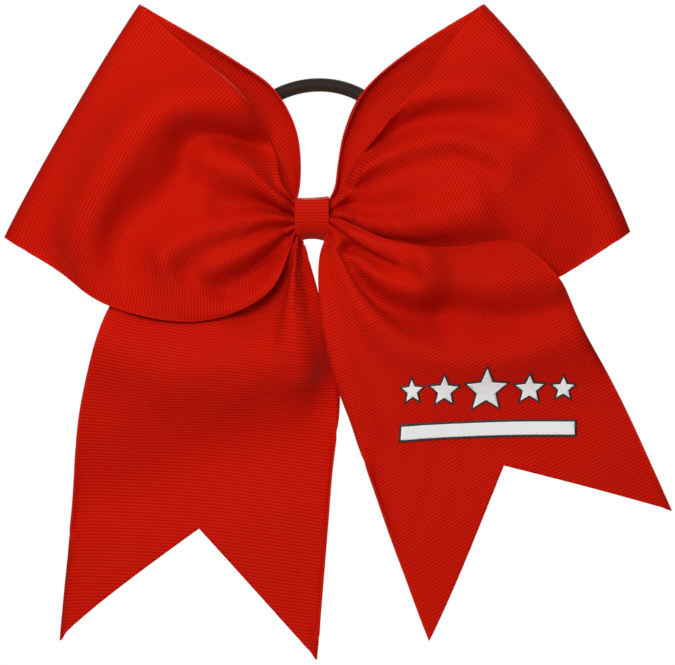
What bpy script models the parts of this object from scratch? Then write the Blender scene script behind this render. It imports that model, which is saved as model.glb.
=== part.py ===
"""Cheer hair bow: one wide grosgrain ribbon folded into two loops and two dovetail tails.

The bow stands upright as it is worn. +X is the wearer's view right of the bow from the front,
+Z is up and the front of the bow faces -Y. The origin is the middle of the knot's flat back.
Lengths in the tables below are millimetres; MM turns them into metres.
Outlines are (x, z) points about the knot's centre, each joined by a smooth curve.
"""

import math

import bmesh
import bpy
from mathutils import Matrix, Vector

MM = 0.001
FINGER_GAP = 0.3            # clearance between neighbouring pieces

# Ribbon
RIBBON_THICK = 0.8
GATHER_X = 6.4              # where a gathered ribbon end meets the side of the knot
TAIL_NOTCH = 0.715          # share of a tail's length at the bottom of its dovetail
LOOP_ROWS = 28
TAIL_ROWS = 18
RIBBON_COLUMNS = 10

# Knot, from the inside out
CORE_HALF = (5.2, 4.2, 4.7)     # half length along X, half depth, half height
CORE_WAIST = 0.72               # how far the thread pulls the core in
CORE_PLEATS = 9
PLEAT_DEPTH = 0.045
WAIST_INNER = 2.1               # the waist's flat bottom reaches this far each way along X
WAIST_OUTER = 2.9
THREAD_RADIUS = 0.35
THREAD_TURNS = 3.5
THREAD_PITCH = 0.95
WRAP_WIDTH = 9.6
WRAP_THICK = 0.6
WRAP_LAP = 3.0                  # how far the two wrap ends pass each other, each way from the middle
GLUE_RADIUS = 0.45

# Hair tie: an elastic core in a woven cover, its ends joined inside the knot
TIE_RADIUS = 2.0
TIE_WALL = 0.7
TIE_CORE_RADIUS = 0.95
TIE_HALF_WIDTH = 22.4
TIE_HEIGHT = 39.6
TIE_LEAN = 2.0                # how far its top stands to the right
TIE_TILT = math.radians(14)     # how far the ring leans away from the loops
TIE_JOINT_HALF = 2.2
TIE_STEPS = 44
TIE_EXIT_X = 5.4                # the ring runs straight this far each way, then curves up
TIE_SET_BACK = 1.2              # the ring steps this far back once it is clear of the wrap

TIE_Y = CORE_HALF[1] + FINGER_GAP + TIE_RADIUS
WRAP_FRONT_Y = -CORE_HALF[1] - FINGER_GAP - WRAP_THICK / 2
WRAP_BACK_Y = TIE_Y + TIE_RADIUS + FINGER_GAP + WRAP_THICK / 2
WRAP_LAP_Y = WRAP_BACK_Y + WRAP_THICK + FINGER_GAP
WRAP_HALF_HEIGHT = CORE_HALF[2] + FINGER_GAP + WRAP_THICK / 2
KNOT_CENTRE = Vector((0, -WRAP_LAP_Y - WRAP_THICK / 2, 0))

# Loops: outlines from the knot to the fold, and how far each layer stands out
LEFT_LOOP = {
    "front_low": [(-6.4, -5), (-11.8, -20.2), (-31.5, -28.7), (-56.8, -24.7), (-71, -14.8), (-86.3, -5.3)],
    "front_high": [(-6.4, 5), (-9.8, 18.6), (-14.6, 27.8), (-20.8, 35.1), (-37.7, 49.8), (-48.4, 59.9)],
    "back_low": [(-6.4, -5), (-10, -15), (-26, -24), (-52, -22.5), (-71, -14), (-86.3, -5.3)],
    "back_high": [(-6.4, 5), (-4.2, 14), (-6.2, 24.7), (-11, 36), (-21.7, 43.9), (-48.4, 59.9)],
    "fold_bow": 1.0,
    "front_y": -3.2,
    "back_y": 2.6,
    "fold_y": -5.0,
    "front_swell": 14.0,
    "back_swell": 4.0,
}
RIGHT_LOOP = {
    "front_low": [(6.4, -5), (14, -18), (32, -25), (52, -24), (68.9, -16.9), (89.4, -3.7)],
    "front_high": [(6.4, 5), (17.7, 23.3), (27.6, 31.8), (36, 44.4), (48.4, 59.9)],
    "back_low": [(6.4, -5), (12, -15), (32, -22.5), (52, -21.5), (70, -14), (89.4, -3.7)],
    "back_high": [(6.4, 5), (7.9, 13.5), (9.3, 21.9), (14.9, 35.4), (29, 47.8), (48.4, 59.9)],
    "fold_bow": 4.1,
    "front_y": -0.2,
    "back_y": 2.6,
    "fold_y": -4.0,
    "front_swell": 8.0,
    "back_swell": 3.5,
}

# Tails: selvedges from the knot to the two tips, the way the tail points, and its depth profile
LEFT_TAIL = {
    "low": [(-6.4, -5), (-3, -10), (2.2, -22.5), (7.3, -44.4), (5.1, -74.8), (1.1, -124.3)],
    "high": [(-6.4, 5), (-30, -6), (-50, -17), (-56.5, -25), (-64.7, -52), (-67.5, -82.4), (-70.6, -118.9)],
    "heading": (-0.355, -0.935),
    "knot_y": -0.2,
    "steepness": -0.10,
    "belly_y": -3.6,
    "far_slope": 0.035,
}
RIGHT_TAIL = {
    "low": [(6.4, -5), (3.6, -10), (2.2, -22.5), (7.3, -44.4), (19, -80), (32.3, -118.7)],
    "high": [(6.4, 1), (24.7, -7.4), (38.8, -8.6), (57, -7.2), (68.9, -16.9), (75.4, -31.5),
             (86.6, -51.2), (100.4, -82.1)],
    "heading": (0.582, -0.813),
    "knot_y": -3.2,
    "steepness": -1.0,
    "belly_y": -12.5,
    "far_slope": 0.06,
}
BELLY_AT = 40.0             # distance from the knot where a tail becomes flat

# Print on the right tail: a row of stars over a bar, white film on a wider black film
PRINT_CENTRE = (48.5, -50.5)
PRINT_LIFT = (0.95, 1.5)            # middle of the black film and of the white film above the tail
PRINT_THICK = 0.22
STAR_RADII = (3.3, 4.3, 6.4, 4.3, 3.3)
STAR_GAP = 0.45                     # between the black outlines of neighbouring stars
STAR_WAIST = 0.46
STAR_HEIGHT = 2.6
BAR_SIZE = (52.0, 3.6)
BAR_DROP = -8.6
OUTLINE_MARGIN = 0.6
TIP_GROWTH = 1.9                    # a star's sharp tips grow by this much more than its margin

RED = (0.58, 0.012, 0.006, 1)
DARK_RED = (0.42, 0.008, 0.005, 1)
BLACK = (0.012, 0.011, 0.011, 1)
WHITE = (0.9, 0.9, 0.9, 1)
UMBER = (0.022, 0.016, 0.013, 1)
LATEX = (0.32, 0.26, 0.19, 1)
THREAD = (0.35, 0.01, 0.01, 1)
GLUE = (0.85, 0.8, 0.68, 1)


def clear_scene():
    for item in list(bpy.data.objects):
        bpy.data.objects.remove(item, do_unlink=True)


def new_collection(name):
    collection = bpy.data.collections.new(name)
    bpy.context.scene.collection.children.link(collection)
    return collection


def material(name, colour, roughness):
    made = bpy.data.materials.new(name)
    made.use_nodes = True
    shader = made.node_tree.nodes["Principled BSDF"]
    shader.inputs["Base Color"].default_value = colour
    shader.inputs["Roughness"].default_value = roughness
    shader.inputs["Metallic"].default_value = 0.0
    return made


def add_object(name, data, collection, finish, parent):
    made = bpy.data.objects.new(name, data)
    made.data.materials.append(finish)
    made.parent = parent
    made.matrix_parent_inverse = parent.matrix_world.inverted()
    collection.objects.link(made)
    return made


def add_pivot(name, point, collection, parent=None):
    """An empty at a point about the knot's centre, in millimetres."""
    pivot = bpy.data.objects.new(name, None)
    pivot.empty_display_size = 5 * MM
    collection.objects.link(pivot)
    pivot.location = (KNOT_CENTRE + Vector(point)) * MM
    if parent:
        pivot.parent = parent
        pivot.matrix_parent_inverse = parent.matrix_world.inverted()
    bpy.context.view_layer.update()
    return pivot


def to_row(point):
    """A point about the knot's centre in millimetres, in metres from the origin."""
    return (KNOT_CENTRE + Vector(point)) * MM


def mesh_from(bm, name, smooth=True):
    mesh = bpy.data.meshes.new(name)
    bmesh.ops.recalc_face_normals(bm, faces=bm.faces)
    bm.to_mesh(mesh)
    bm.free()
    if smooth:
        mesh.shade_smooth()
        mesh.set_sharp_from_angle(angle=math.radians(40))
    return mesh


def smooth_curve(points, steps=12):
    """Points along a centripetal curve through the given ones."""
    points = [Vector(p) for p in points]
    ends = [points[0] * 2 - points[1]] + points + [points[-1] * 2 - points[-2]]
    path = [points[0]]
    for before, start, end, after in zip(ends, ends[1:], ends[2:], ends[3:]):
        knots = [0.0]
        for a, b in ((before, start), (start, end), (end, after)):
            knots.append(knots[-1] + math.sqrt((b - a).length))
        for step in range(1, steps + 1):
            t = knots[1] + (knots[2] - knots[1]) * step / steps
            path.append(between(between_three(before, start, end, knots[0:3], t),
                                between_three(start, end, after, knots[1:4], t),
                                knots[1], knots[2], t))
    return path


def between(a, b, low, high, t):
    return a.lerp(b, (t - low) / (high - low))


def between_three(a, b, c, knots, t):
    first = between(a, b, knots[0], knots[1], t)
    second = between(b, c, knots[1], knots[2], t)
    return between(first, second, knots[0], knots[2], t)


def selvedge(points):
    """A function giving the point at a share of the way along a smooth edge, by length."""
    path = smooth_curve(points)
    lengths = [0.0]
    for a, b in zip(path, path[1:]):
        lengths.append(lengths[-1] + (b - a).length)

    def at(share):
        want = min(max(share, 0.0), 1.0) * lengths[-1]
        for index in range(1, len(path)):
            if lengths[index] >= want:
                break
        return between(path[index - 1], path[index], lengths[index - 1], lengths[index], want)

    return at


def ribbon_mesh(name, rows, place, notch=None):
    """A flat strip, u along it from 0 to 1 and v across it from -1 to 1, cut, then laid by place(u, v)."""
    bm = bmesh.new()
    bmesh.ops.create_grid(bm, x_segments=rows, y_segments=RIBBON_COLUMNS, size=1)
    bmesh.ops.transform(bm, matrix=Matrix.Translation((0.5, 0, 0)) @ Matrix.Diagonal((0.5, 1, 1, 1)),
                        verts=bm.verts)
    if notch:
        for side in (-1, 1):
            across = Vector((1, -side * (1 - notch), 0)).normalized()
            half = [f for f in bm.faces if f.calc_center_median().y * side > 0]
            parts = set(half)
            parts.update(e for f in half for e in f.edges)
            parts.update(v for f in half for v in f.verts)
            bmesh.ops.bisect_plane(bm, geom=list(parts), plane_co=(notch, 0, 0), plane_no=across, dist=1e-6)
        beyond = []
        for face in bm.faces:
            middle = face.calc_center_median()
            if middle.x > notch + (1 - notch) * abs(middle.y):
                beyond.append(face)
        bmesh.ops.delete(bm, geom=beyond, context="FACES")
    for vertex in bm.verts:
        vertex.co = to_row(place(vertex.co.x, vertex.co.y))
    return mesh_from(bm, name)


def add_ribbon(name, mesh, collection, finish, parent):
    made = add_object(name, mesh, collection, finish, parent)
    solidify = made.modifiers.new("Thickness", "SOLIDIFY")
    solidify.thickness = RIBBON_THICK * MM
    solidify.offset = 0
    solidify.use_even_offset = True
    return made


def loop_place(loop):
    """Where a loop's strip lies: out along the front, round the fold and back behind."""
    edges = {name: selvedge(loop[name]) for name in ("front_low", "front_high", "back_low", "back_high")}
    fold_low = Vector(loop["front_low"][-1])
    fold_high = Vector(loop["front_high"][-1])
    along_fold = fold_high - fold_low
    outward = Vector((-along_fold.y, along_fold.x)).normalized()
    if outward.x * fold_low.x < 0:
        outward.negate()

    def place(u, v):
        front = u <= 0.5
        run = 1 - abs(1 - 2 * u)
        share = run * (2 - run)
        side = "front" if front else "back"
        flat = edges[side + "_low"](share).lerp(edges[side + "_high"](share), (v + 1) / 2)
        flat += outward * loop["fold_bow"] * share * share * (1 - v * v)
        rest = loop[side + "_y"] + (loop["fold_y"] - loop[side + "_y"]) * share
        crown = 1 - 0.4 * v * v
        swell = 2.6 * share * (1 - run) * crown * loop[side + "_swell"]
        return Vector((flat.x, rest - swell if front else rest + swell, flat.y))

    return place


def tail_depth(tail, distance):
    """Depth of a tail at a distance from the knot: it leaves at a slope and runs on flat."""
    if distance >= BELLY_AT:
        return tail["belly_y"] + tail["far_slope"] * (distance - BELLY_AT)
    t = max(distance, 0) / BELLY_AT
    start = (1 + 2 * t) * (1 - t) ** 2 * tail["knot_y"] + t * (1 - t) ** 2 * BELLY_AT * tail["steepness"]
    end = t * t * (3 - 2 * t) * tail["belly_y"] + t * t * (t - 1) * BELLY_AT * tail["far_slope"]
    return start + end


def tail_place(tail):
    low = selvedge(tail["low"])
    high = selvedge(tail["high"])
    heading = Vector(tail["heading"])

    def place(u, v):
        flat = low(u).lerp(high(u), (v + 1) / 2)
        depth = tail_depth(tail, flat.dot(heading))
        settle = min(u * 5, 1)
        return Vector((flat.x, tail["knot_y"] + (depth - tail["knot_y"]) * settle, flat.y))

    return place


def add_core(collection, finish, parent):
    """The gathered ribbon inside the wrap: a pleated bar with a waist for the thread."""
    half_length, half_depth, half_height = CORE_HALF
    bm = bmesh.new()
    bmesh.ops.create_cone(bm, cap_ends=True, segments=4 * CORE_PLEATS, radius1=1, radius2=1,
                          depth=2 * half_length, matrix=Matrix.Rotation(math.pi / 2, 4, "Y"))
    for x in (-WAIST_OUTER, -WAIST_INNER, WAIST_INNER, WAIST_OUTER):
        whole = bm.verts[:] + bm.edges[:] + bm.faces[:]
        bmesh.ops.bisect_plane(bm, geom=whole, plane_co=(x, 0, 0), plane_no=(1, 0, 0), dist=1e-6)
    for vertex in bm.verts:
        angle = math.atan2(vertex.co.z, vertex.co.y)
        reach = 1 - PLEAT_DEPTH * (1 - math.cos(CORE_PLEATS * angle))
        if abs(vertex.co.x) < (WAIST_INNER + WAIST_OUTER) / 2:
            reach *= CORE_WAIST
        vertex.co = to_row((vertex.co.x, half_depth * reach * math.cos(angle),
                            half_height * reach * math.sin(angle)))
    return add_object("knot_core", mesh_from(bm, "knot_core"), collection, finish, parent)


def add_path(name, points, radius, collection, finish, parent, cyclic=False, caps=True, sides=2):
    """A round bar along a path of points in metres."""
    curve = bpy.data.curves.new(name, "CURVE")
    curve.dimensions = "3D"
    curve.bevel_depth = radius * MM
    curve.bevel_resolution = sides
    curve.use_fill_caps = caps
    spline = curve.splines.new("POLY")
    spline.points.add(len(points) - 1)
    for target, point in zip(spline.points, points):
        target.co = (*point, 1)
    spline.use_cyclic_u = cyclic
    return add_object(name, curve, collection, finish, parent)


def add_thread(collection, finish, parent):
    """Waxed thread wound round the waist of the core."""
    depth = CORE_HALF[1] * CORE_WAIST + FINGER_GAP + THREAD_RADIUS
    height = CORE_HALF[2] * CORE_WAIST + FINGER_GAP + THREAD_RADIUS
    steps = int(THREAD_TURNS * 16)
    points = []
    for step in range(steps + 1):
        turn = step / 16
        x = (turn - THREAD_TURNS / 2) * THREAD_PITCH
        angle = turn * 2 * math.pi
        points.append(to_row((x, depth * math.cos(angle), height * math.sin(angle))))
    return add_path("cinch_thread", points, THREAD_RADIUS, collection, finish, parent, sides=1)


def wrap_path():
    """The wrap's middle line in the YZ plane: from its inner end at the back, round, to its outer end."""
    corner = 1.6
    top = WRAP_HALF_HEIGHT
    path = [(WRAP_BACK_Y, WRAP_LAP)]
    for middle_y, middle_z, start in (
        (WRAP_BACK_Y - corner, -top + corner, 0),
        (WRAP_FRONT_Y + corner, -top + corner, -90),
        (WRAP_FRONT_Y + corner, top - corner, -180),
        (WRAP_LAP_Y - corner, top - corner, -270),
    ):
        for step in range(5):
            angle = math.radians(start - step * 22.5)
            path.append((middle_y + corner * math.cos(angle), middle_z + corner * math.sin(angle)))
    path.append((WRAP_LAP_Y, -WRAP_LAP))
    return path


def add_wrap(collection, finish, parent):
    """The narrow ribbon round the knot, its two ends lapped at the back."""
    bm = bmesh.new()
    rows = []
    for y, z in wrap_path():
        rows.append([bm.verts.new(to_row((side * WRAP_WIDTH / 2, y, z))) for side in (-1, 1)])
    for before, after in zip(rows, rows[1:]):
        bm.faces.new((before[0], before[1], after[1], after[0]))
    mesh = mesh_from(bm, "centre_wrap")
    made = add_object("centre_wrap", mesh, collection, finish, parent)
    solidify = made.modifiers.new("Thickness", "SOLIDIFY")
    solidify.thickness = WRAP_THICK * MM
    solidify.offset = 0
    return made


def add_glue(collection, finish, parent):
    """A bead of hot-melt glue along the outer end of the wrap."""
    z = -WRAP_LAP - FINGER_GAP - GLUE_RADIUS
    y = WRAP_BACK_Y + WRAP_THICK / 2 + FINGER_GAP + GLUE_RADIUS
    points = [to_row((x, y, z)) for x in (-3.6, -1.2, 1.2, 3.6)]
    return add_path("wrap_glue", points, GLUE_RADIUS, collection, finish, parent)


def tie_path(step_from, step_to):
    """The hair tie's middle line: straight through the knot, then an oval standing up behind it."""
    points = []
    for step in range(step_from, step_to + 1):
        angle = 2 * math.pi * step / TIE_STEPS
        along = TIE_HEIGHT / 2 * (1 - math.cos(angle))
        across = TIE_HALF_WIDTH * math.sin(angle) + TIE_LEAN * along / TIE_HEIGHT
        leave = min(angle, 2 * math.pi - angle, math.pi / 2)
        back = TIE_Y + along * math.sin(TIE_TILT) + TIE_SET_BACK * math.sin(leave) ** 2
        points.append(to_row((across, back, along * math.cos(TIE_TILT))))
    return points


def add_tie(collection, cover_finish, core_finish, joint_finish, parent):
    end_x = TIE_JOINT_HALF + FINGER_GAP
    start = [to_row((x, TIE_Y, 0)) for x in (end_x, TIE_EXIT_X)]
    end = [to_row((-x, TIE_Y, 0)) for x in (TIE_EXIT_X, end_x)]
    ring = start + tie_path(2, TIE_STEPS - 2) + end
    add_path("hair_tie_core", ring, TIE_CORE_RADIUS, collection, core_finish, parent)
    cover = add_path("hair_tie_cover", ring, TIE_RADIUS, collection, cover_finish, parent, caps=False)
    wall = cover.modifiers.new("Wall", "SOLIDIFY")
    wall.thickness = TIE_WALL * MM
    wall.offset = -1
    joint = [to_row((x, TIE_Y, 0)) for x in (-TIE_JOINT_HALF, 0, TIE_JOINT_HALF)]
    add_path("hair_tie_splice", joint, TIE_RADIUS, collection, joint_finish, parent)


def star_outline(radius, margin):
    """A five-pointed star, or the same star grown all round by a margin."""
    points = []
    for index in range(10):
        angle = math.pi / 2 + index * math.pi / 5
        reach = radius + margin * TIP_GROWTH if index % 2 == 0 else radius * STAR_WAIST + margin
        points.append((reach * math.cos(angle), reach * math.sin(angle)))
    return points


def star_places():
    """Middles of the stars along the row, the middle star at 0, their black outlines a gap apart."""
    reaches = [(radius + OUTLINE_MARGIN * TIP_GROWTH) * math.cos(math.pi / 10) for radius in STAR_RADII]
    places = [0.0]
    for before, after in zip(reaches, reaches[1:]):
        places.append(places[-1] + before + after + STAR_GAP)
    middle = places[len(places) // 2]
    return [place - middle for place in places]


def bar_outline(size, margin):
    half_width = size[0] / 2 + margin
    half_height = size[1] / 2 + margin
    return [(-half_width, -half_height), (half_width, -half_height),
            (half_width, half_height), (-half_width, half_height)]


def add_film(name, outline, place, lift, collection, finish, parent, frame):
    """A flat piece of film lying parallel to the tail."""
    curve = bpy.data.curves.new(name, "CURVE")
    curve.dimensions = "2D"
    curve.fill_mode = "BOTH"
    curve.extrude = PRINT_THICK / 2 * MM
    spline = curve.splines.new("POLY")
    spline.points.add(len(outline) - 1)
    for target, (x, y) in zip(spline.points, outline):
        target.co = ((x + place[0]) * MM, (y + place[1]) * MM, 0, 1)
    spline.use_cyclic_u = True
    made = add_object(name, curve, collection, finish, parent)
    made.matrix_world = frame @ Matrix.Translation((0, 0, lift * MM))
    return made


def print_frame():
    """The print's own axes on the flat part of the right tail: x along the row, z out of the front."""
    heading = Vector(RIGHT_TAIL["heading"])
    slope = RIGHT_TAIL["far_slope"]
    out = Vector((slope * heading.x, -1, slope * heading.y)).normalized()
    along = Vector((1, 0, 0))
    along = (along - out * along.dot(out)).normalized()
    up = out.cross(along)
    flat = Vector(PRINT_CENTRE)
    centre = to_row((flat.x, tail_depth(RIGHT_TAIL, flat.dot(heading)), flat.y))
    return Matrix.Translation(centre) @ Matrix((along, up, out)).transposed().to_4x4()


def add_print(collection, black, white, parent):
    frame = print_frame()
    places = star_places()
    for layer, margin, lift, finish in (
        ("outline", OUTLINE_MARGIN, PRINT_LIFT[0], black),
        ("face", 0, PRINT_LIFT[1], white),
    ):
        for index, radius in enumerate(STAR_RADII):
            place = (places[index], STAR_HEIGHT)
            add_film(f"star_{layer}_{index + 1}", star_outline(radius, margin), place, lift,
                     collection, finish, parent, frame)
        add_film(f"bar_{layer}", bar_outline(BAR_SIZE, margin), (0, BAR_DROP), lift,
                 collection, finish, parent, frame)


def build():
    clear_scene()
    bow = new_collection("cheer_hair_bow")
    root = add_pivot("bow_root", (0, 0, 0), bow)
    left_tail_pivot = add_pivot("left_tail_pivot", (-GATHER_X, LEFT_TAIL["knot_y"], 5), bow, root)
    right_tail_pivot = add_pivot("right_tail_pivot", (GATHER_X, RIGHT_TAIL["knot_y"], 1), bow, root)
    left_loop_pivot = add_pivot("left_loop_pivot", (-GATHER_X, 0, 0), bow, root)
    right_loop_pivot = add_pivot("right_loop_pivot", (GATHER_X, 0, 0), bow, root)
    tie_pivot = add_pivot("hair_tie_pivot", (0, TIE_Y, 0), bow, root)

    grosgrain = material("red_grosgrain", RED, 0.55)
    gathered = material("gathered_grosgrain", DARK_RED, 0.65)

    for name, tail, pivot in (
        ("left_tail", LEFT_TAIL, left_tail_pivot),
        ("right_tail", RIGHT_TAIL, right_tail_pivot),
    ):
        mesh = ribbon_mesh(name, TAIL_ROWS, tail_place(tail), TAIL_NOTCH)
        add_ribbon(name, mesh, bow, grosgrain, pivot)
    for name, loop, pivot in (
        ("left_loop", LEFT_LOOP, left_loop_pivot),
        ("right_loop", RIGHT_LOOP, right_loop_pivot),
    ):
        mesh = ribbon_mesh(name, LOOP_ROWS, loop_place(loop))
        add_ribbon(name, mesh, bow, grosgrain, pivot)

    add_core(bow, gathered, root)
    add_thread(bow, material("waxed_thread", THREAD, 0.6), root)
    add_wrap(bow, material("wrap_grosgrain", RED, 0.55), root)
    add_glue(bow, material("hot_melt_glue", GLUE, 0.3), root)
    add_tie(bow, material("woven_cover", UMBER, 0.8), material("elastic_core", LATEX, 0.6),
            material("bonded_joint", BLACK, 0.5), tie_pivot)
    add_print(bow, material("black_film", BLACK, 0.45), material("white_film", WHITE, 0.45),
              right_tail_pivot)


build()
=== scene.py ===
"""Looks of the cheer hair bow: wide ribbed ribbon, a bound knot, an elastic hair tie and a printed emblem.

Each free stretch of the ribbon is relaxed as a sheet that doesn't stretch, between the knot, its fold
and its selvedges, and the ribs are real geometry on that shape. Lengths are in millimetres about the
knot's centre until to_frame() turns them into metres in the frame of the CAD part.
"""

import math

import bmesh
import bpy
import numpy as np
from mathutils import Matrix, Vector
from mathutils.bvhtree import BVHTree


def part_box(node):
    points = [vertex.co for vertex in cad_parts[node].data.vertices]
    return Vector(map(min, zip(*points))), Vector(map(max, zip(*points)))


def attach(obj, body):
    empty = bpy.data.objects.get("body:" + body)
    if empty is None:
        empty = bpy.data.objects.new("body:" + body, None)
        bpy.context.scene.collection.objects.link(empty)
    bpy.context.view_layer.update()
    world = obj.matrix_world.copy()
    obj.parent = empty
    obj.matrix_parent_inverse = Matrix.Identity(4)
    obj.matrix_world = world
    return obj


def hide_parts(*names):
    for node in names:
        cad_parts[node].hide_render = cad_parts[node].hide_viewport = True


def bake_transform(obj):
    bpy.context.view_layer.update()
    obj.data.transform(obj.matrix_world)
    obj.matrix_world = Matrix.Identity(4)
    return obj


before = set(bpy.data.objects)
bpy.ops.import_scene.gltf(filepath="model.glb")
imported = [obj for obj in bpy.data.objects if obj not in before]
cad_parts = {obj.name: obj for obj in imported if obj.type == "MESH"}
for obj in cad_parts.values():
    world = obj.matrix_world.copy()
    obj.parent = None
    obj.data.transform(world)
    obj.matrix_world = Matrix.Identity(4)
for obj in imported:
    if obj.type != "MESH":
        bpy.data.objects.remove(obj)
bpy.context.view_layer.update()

MM = 0.001
CORE_LOW, CORE_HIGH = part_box("knot_core")
KNOT = np.array((CORE_LOW + CORE_HIGH) / 2)

# Ribbon
HALF_WIDTH = 38.1
THICK = 0.42                  # without the ribs
RIB_PITCH = 0.93
RIB_HEIGHT = 0.11
SELVEDGE = 0.9                # width of the plain woven edge
SELVEDGE_BLEND = 0.5          # width over which the ribs die away into it
SELVEDGE_HEIGHT = 0.75        # its height as a share of a rib's
NOTCH_DEPTH = 32.4
RIBBON_STEP = RIB_PITCH / 4   # between rows of the ribbon's mesh
COLUMNS = 56
GATHER_STRIP = 7              # columns between the corners of the gathered line
KNOT_END_FROM = 20.0          # the cut at the knot leaves the ribbon alone below this
NOTCH_END = 60.0              # the dovetail's cuts leave the ribbon alone above this
UV_SCALE = 0.01

# Start shape of a stretch. Its run goes from 0 at the knot to 1 at the fold or tips.
LOOP_ROWS = 44                # on each side of the fold
TAIL_ROWS = 70
SHEET_COLUMNS = 41
PLEAT_HEIGHT = 1.4
LOOP_PLEATS = (8, 9)          # how fast the pleats deepen beyond the knot, and how fast they die away
TAIL_PLEATS = (10, 13)
LOOP_GATHER = 0.5             # run over which the pleats open out to the full width
TAIL_GATHER = 0.35
LOOP_FOLDS_RISE = 20          # 1 over the run in which the folds reach their height
LOOP_FOLDS_FALL = 5           # 1 over the run in which they die away before the fold
TAIL_FOLDS_RISE = 16
FOLD_SCALE = 1.25
SWELL_SCALE = 2.5
FAN_REACH = 0.5               # run over which the threads fan out
FAN_SPREAD = 1.5

# Relaxing
RELAX_STEPS = 400
BEND, SHEAR, SMOOTH = 0.15, 0.5, 0.03
LOOP_EASE = 0.15              # run from which the cloth resists bending across its width
TAIL_EASE = 0.12
NEAR_KNOT = 0.4               # run over which the pleats keep their place
EDGE_PULL, EDGE_REACH = 0.35, 0.01
NEAR_EDGE_PULL, NEAR_EDGE_REACH = 0.2, 0.08
DEPTH_PULL, NEAR_DEPTH_PULL = 0.03, 0.3
FOLD_PULL = 0.3
COMB_PASSES = 40
COMB_REACH = 0.75             # run over which bumps along the threads are combed out
LAYER_GAP = 1.2               # least distance between the middles of two layers of cloth
LAYER_EVERY = 16              # steps between two looks at the other layers
FAR = 500.0
TIE_ROOM_Y = 3.5              # the cloth stays in front of this, over the ring of the hair tie
TIE_ROOM_HALF_WIDTH = 25.0
TIE_ROOM_LOW, TIE_ROOM_HIGH = -3.0, 41.0
TIE_ROOM_SLOPE = 0.6          # how fast that limit moves back beside the ring

# Outlines in the XZ plane, from the knot outwards. pleats are the shares of the width, from the low
# edge up, where the gathered cloth stands forward and back by turns. folds are wider waves further out:
# height towards the viewer, half width near the knot and far from it, and the line of the crest.
LEFT_LOOP = {
    "front_low": [(-4.6, -4.6), (-11.8, -20.2), (-31.5, -28.9), (-56.8, -24.9), (-71, -14.8), (-86.3, -5.3)],
    "front_high": [(-4.6, 4.2), (-8, 8), (-9.4, 12.5), (-10.3, 17.5), (-13.6, 24.5), (-20.8, 35.1),
                   (-37.7, 49.8), (-48.4, 59.9)],
    "back_low": [(-4.6, -4.6), (-10, -15), (-26, -24), (-52, -22.5), (-71, -14), (-86.3, -5.3)],
    "back_high": [(-4.6, 4.6), (-3.6, 9), (-3.5, 17), (-5.1, 25.5), (-11, 36), (-21.7, 43.9), (-48.4, 59.9)],
    "fold_bow": 1.0, "front_y": -2.9, "back_y": 2.9, "fold_y": -5.0,
    "front_swell": 13.0, "back_swell": 4.0, "front_taken": 4.0, "back_taken": 14.0,
    "front_pleats": (0, 0.17, 0.25, 0.32, 0.44, 0.56, 0.73, 0.88, 1),
    "back_pleats": (0, 0.2, 0.4, 0.6, 0.75, 0.88, 1),
    "folds": [
        (7.0, 8, 9, [(-60, -3), (-51, 14), (-38.5, 27), (-21.7, 33)]),
        (-7.0, 6, 9, [(-14, 19), (-25, 14.5), (-28, 8), (-34, 1), (-49, -8)]),
        (3.5, 2.5, 6, [(-7.6, 3.7), (-14, 10.5), (-20, 13)]),
        (-3.5, 1.5, 3.5, [(-6, 1.2), (-12, 1.4), (-19, 1)]),
        (3.5, 1.5, 5, [(-6, -0.3), (-13.6, -2.6), (-22.5, -7.4), (-34, -14)]),
        (-3.5, 1.5, 3.5, [(-6, -1.4), (-13.6, -4.9), (-22.5, -10.2), (-29, -15)]),
        (3.0, 1.5, 4, [(-6, -2.4), (-14.5, -8.6), (-22, -14.5)]),
        (-4.5, 1.5, 4, [(-6.4, -4.2), (-9.6, -9), (-14, -13.6), (-21.6, -18.6)]),
    ],
}
RIGHT_LOOP = {
    "front_low": [(4.6, -4.6), (14, -18), (32, -25), (52, -24), (68.9, -16.9), (89.4, -3.7)],
    "front_high": [(4.6, 4.2), (8.4, 8), (10.8, 12.5), (13.6, 17), (20.1, 24.8), (26.8, 32.7), (38, 47.8),
                   (48.4, 59.9)],
    "back_low": [(4.6, -4.6), (12, -15), (32, -22.5), (52, -21.5), (70, -14), (89.4, -3.7)],
    "back_high": [(4.6, 4.6), (6.6, 8.5), (7.6, 15), (9.3, 23), (14.9, 35.4), (29, 47.8), (48.4, 59.9)],
    "fold_bow": 4.1, "front_y": 0.0, "back_y": 2.9, "fold_y": -4.0,
    "front_swell": 10.0, "back_swell": 3.5, "front_taken": 5.0, "back_taken": 13.0,
    "front_pleats": (0, 0.15, 0.3, 0.42, 0.54, 0.66, 0.82, 1),
    "back_pleats": (0, 0.2, 0.4, 0.6, 0.75, 0.88, 1),
    "folds": [
        (4.5, 5, 9, [(16, 23), (32, 30), (50, 33), (62, 29)]),
        (-4.5, 3, 7, [(8, 10), (10.7, 15), (20, 19), (32, 22.5), (50, 24.5)]),
        (3.5, 2.5, 6, [(6, 4), (9.3, 10), (20, 14), (38, 15.7), (50, 13.5)]),
        (-2.5, 1.5, 4, [(7, 6), (20, 10.5), (38, 12), (47, 9.3)]),
        (-3.0, 1.5, 4, [(6, 3.6), (13, 3), (21.4, 2.2)]),
        (3.0, 1.5, 5, [(6, 1), (20, -0.5), (32, -2.4), (42.5, -1)]),
        (-1.5, 1.5, 6, [(6, -1), (20, -6), (32, -10), (50, -11)]),
    ],
}
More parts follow.
